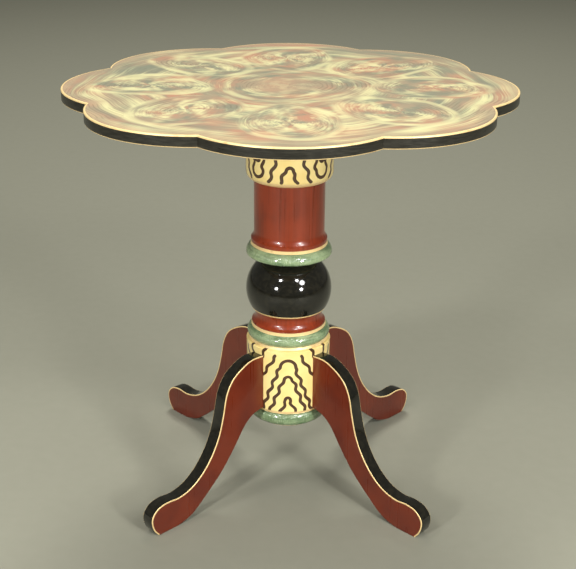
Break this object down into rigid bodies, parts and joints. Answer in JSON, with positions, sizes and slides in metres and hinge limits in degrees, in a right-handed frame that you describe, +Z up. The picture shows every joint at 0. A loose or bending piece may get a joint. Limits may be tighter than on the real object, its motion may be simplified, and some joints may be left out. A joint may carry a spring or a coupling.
{
  "type": "tilt-top pedestal table",
  "caption": "Pedestal table with a scalloped top that tilts up on a block, a turned column of stacked sections and sawn S-curve legs.",
  "frame": {"origin": "on the floor, on the column's axis", "axes": "+Z up; -Y is the side that the top tilts down towards, with the pivot pins; +Y is the side with the sliding bolt; legs stand on the diagonals"},
  "size_m": [0.775, 0.775, 0.74],
  "materials": {
    "marbled_top": "hand-painted marbling in cream, rose and sage under gloss varnish, black edge with thin gold lines",
    "red_lacquer": "brushed red-brown lacquer, satin gloss, black edges and thin gold lines on the legs",
    "black_lacquer": "black lacquer, high gloss",
    "green_marble_paint": "sage green brushed marbling, gloss varnish",
    "cream_brushwork": "cream ground with dark brown wavy brush lines, gloss varnish",
    "bare_hardwood": "oiled hardwood, satin",
    "brass": "drawn brass, lightly worn",
    "steel": "bright zinc-plated steel"
  },
  "bodies": {
    "column": {"base_ring": "green_marble_paint", "lower_ring": "green_marble_paint", "upper_ring": "green_marble_paint", "leg_drum": "cream_brushwork", "capital": "cream_brushwork", "red_collar": "red_lacquer", "red_shaft": "red_lacquer", "leg_back_right": "red_lacquer", "leg_back_left": "red_lacquer", "leg_front_left": "red_lacquer", "leg_front_right": "red_lacquer", "ball": "black_lacquer", "tilt_block": "bare_hardwood", "keeper_plate": "brass", "keeper_screw_1": "brass", "keeper_screw_2": "brass", "tie_rod": "steel", "lower_nut": "steel", "lower_washer": "steel", "upper_washer": "steel", "upper_nut": "steel", "block_screw_1": "steel", "block_screw_2": "steel", "block_screw_3": "steel", "block_screw_4": "steel", "pivot_pin_right": "steel", "pivot_pin_left": "steel"},
    "top": {"table_top": "marbled_top", "batten_right": "bare_hardwood", "batten_left": "bare_hardwood", "batten_right_screw_1": "steel", "batten_right_screw_2": "steel", "batten_right_screw_3": "steel", "batten_left_screw_1": "steel", "batten_left_screw_2": "steel", "batten_left_screw_3": "steel", "catch_case": "brass", "catch_screw_1": "brass", "catch_screw_2": "brass", "catch_screw_3": "brass", "catch_screw_4": "brass", "bolt_leaf_spring": "steel"},
    "bolt": {"catch_bolt": "brass", "catch_knob": "brass"}
  },
  "joints": [
    {"name": "top_tilt", "type": "hinge", "parent": "column", "child": "top", "pos_m": [0, -0.058, 0.699], "axis": [1, 0, 0], "range_deg": [0, 90]},
    {"name": "bolt_slide", "type": "slide", "parent": "top", "child": "bolt", "axis": [0, -1, 0], "range_m": [0, 0.011]}
  ]
}
